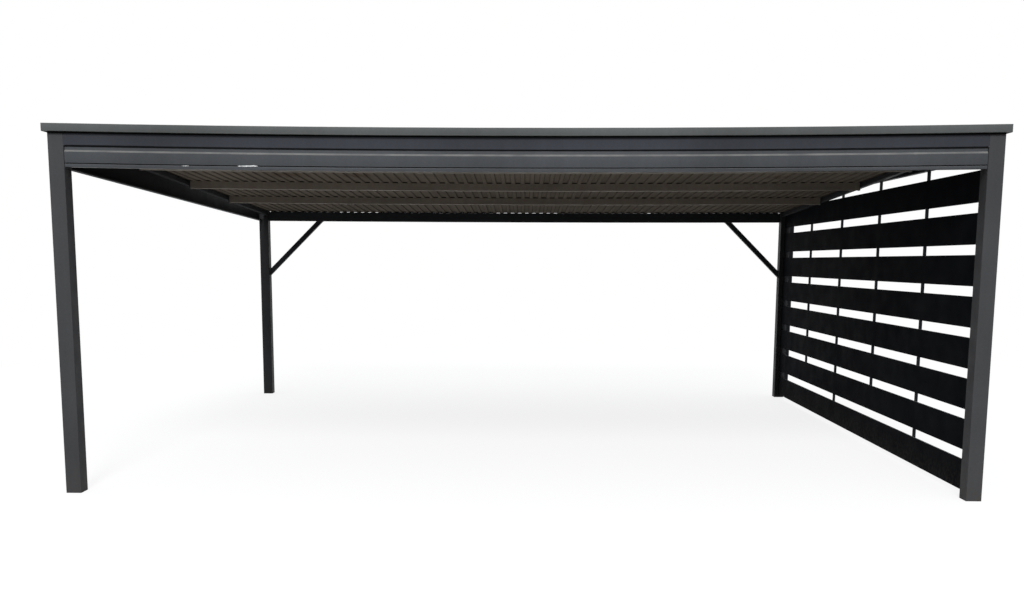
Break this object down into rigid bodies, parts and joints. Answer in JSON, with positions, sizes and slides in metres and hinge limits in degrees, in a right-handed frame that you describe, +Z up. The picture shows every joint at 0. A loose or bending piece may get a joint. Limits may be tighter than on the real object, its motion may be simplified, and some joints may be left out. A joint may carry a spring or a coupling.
{
  "type": "carport",
  "caption": "Free-standing steel carport with square posts, a level parapet on three sides, a ribbed roof falling to the rear, corner braces and one slatted side wall.",
  "frame": {"origin": "On the ground, under the middle of the roof", "axes": "+Z up, +X to the right seen from the open front, which faces -Y"},
  "size_m": [5.99, 4.99, 2.361],
  "materials": {
    "frame_paint": "anthracite grey paint with a fine matt grain",
    "fascia_paint": "anthracite grey coated sheet, satin",
    "cap_paint": "anthracite grey coated sheet, satin, a little paler and dusty",
    "board_paint": "anthracite grey coated sheet, satin",
    "wall_frame_paint": "anthracite grey paint with a fine matt grain",
    "foot_plate_paint": "anthracite grey paint, scuffed at the ground",
    "purlin_steel": "grey-brown primed galvanised steel, dull",
    "roof_sheet_steel": "ribbed coated sheet with a grey-brown anti-drip fleece on its underside"
  },
  "bodies": {
    "root": {"front_beam": "frame_paint", "front_cap": "cap_paint", "front_fascia": "fascia_paint", "front_fascia_trim": "fascia_paint", "front_left_foot_plate": "foot_plate_paint", "front_left_post": "frame_paint", "front_purlin": "purlin_steel", "front_right_foot_plate": "foot_plate_paint", "front_right_post": "frame_paint", "left_cap": "cap_paint", "left_fascia": "fascia_paint", "left_roof_rail": "frame_paint", "left_side_beam": "frame_paint", "middle_purlin": "purlin_steel", "rear_beam": "frame_paint", "rear_left_brace": "frame_paint", "rear_left_foot_plate": "foot_plate_paint", "rear_left_post": "frame_paint", "rear_purlin": "purlin_steel", "rear_right_brace": "frame_paint", "rear_right_foot_plate": "foot_plate_paint", "rear_right_post": "frame_paint", "right_cap": "cap_paint", "right_fascia": "fascia_paint", "right_roof_rail": "frame_paint", "right_side_beam": "frame_paint", "roof_sheet_1": "roof_sheet_steel", "roof_sheet_2": "roof_sheet_steel", "roof_sheet_3": "roof_sheet_steel", "roof_sheet_4": "roof_sheet_steel", "roof_sheet_5": "roof_sheet_steel", "roof_sheet_6": "roof_sheet_steel", "wall_batten_1": "wall_frame_paint", "wall_batten_2": "wall_frame_paint", "wall_batten_3": "wall_frame_paint", "wall_batten_4": "wall_frame_paint", "wall_board_1": "board_paint", "wall_board_2": "board_paint", "wall_board_3": "board_paint", "wall_board_4": "board_paint", "wall_board_5": "board_paint", "wall_board_6": "board_paint", "wall_board_7": "board_paint", "wall_board_8": "board_paint", "wall_rear_upright": "wall_frame_paint"}
  },
  "joints": []
}
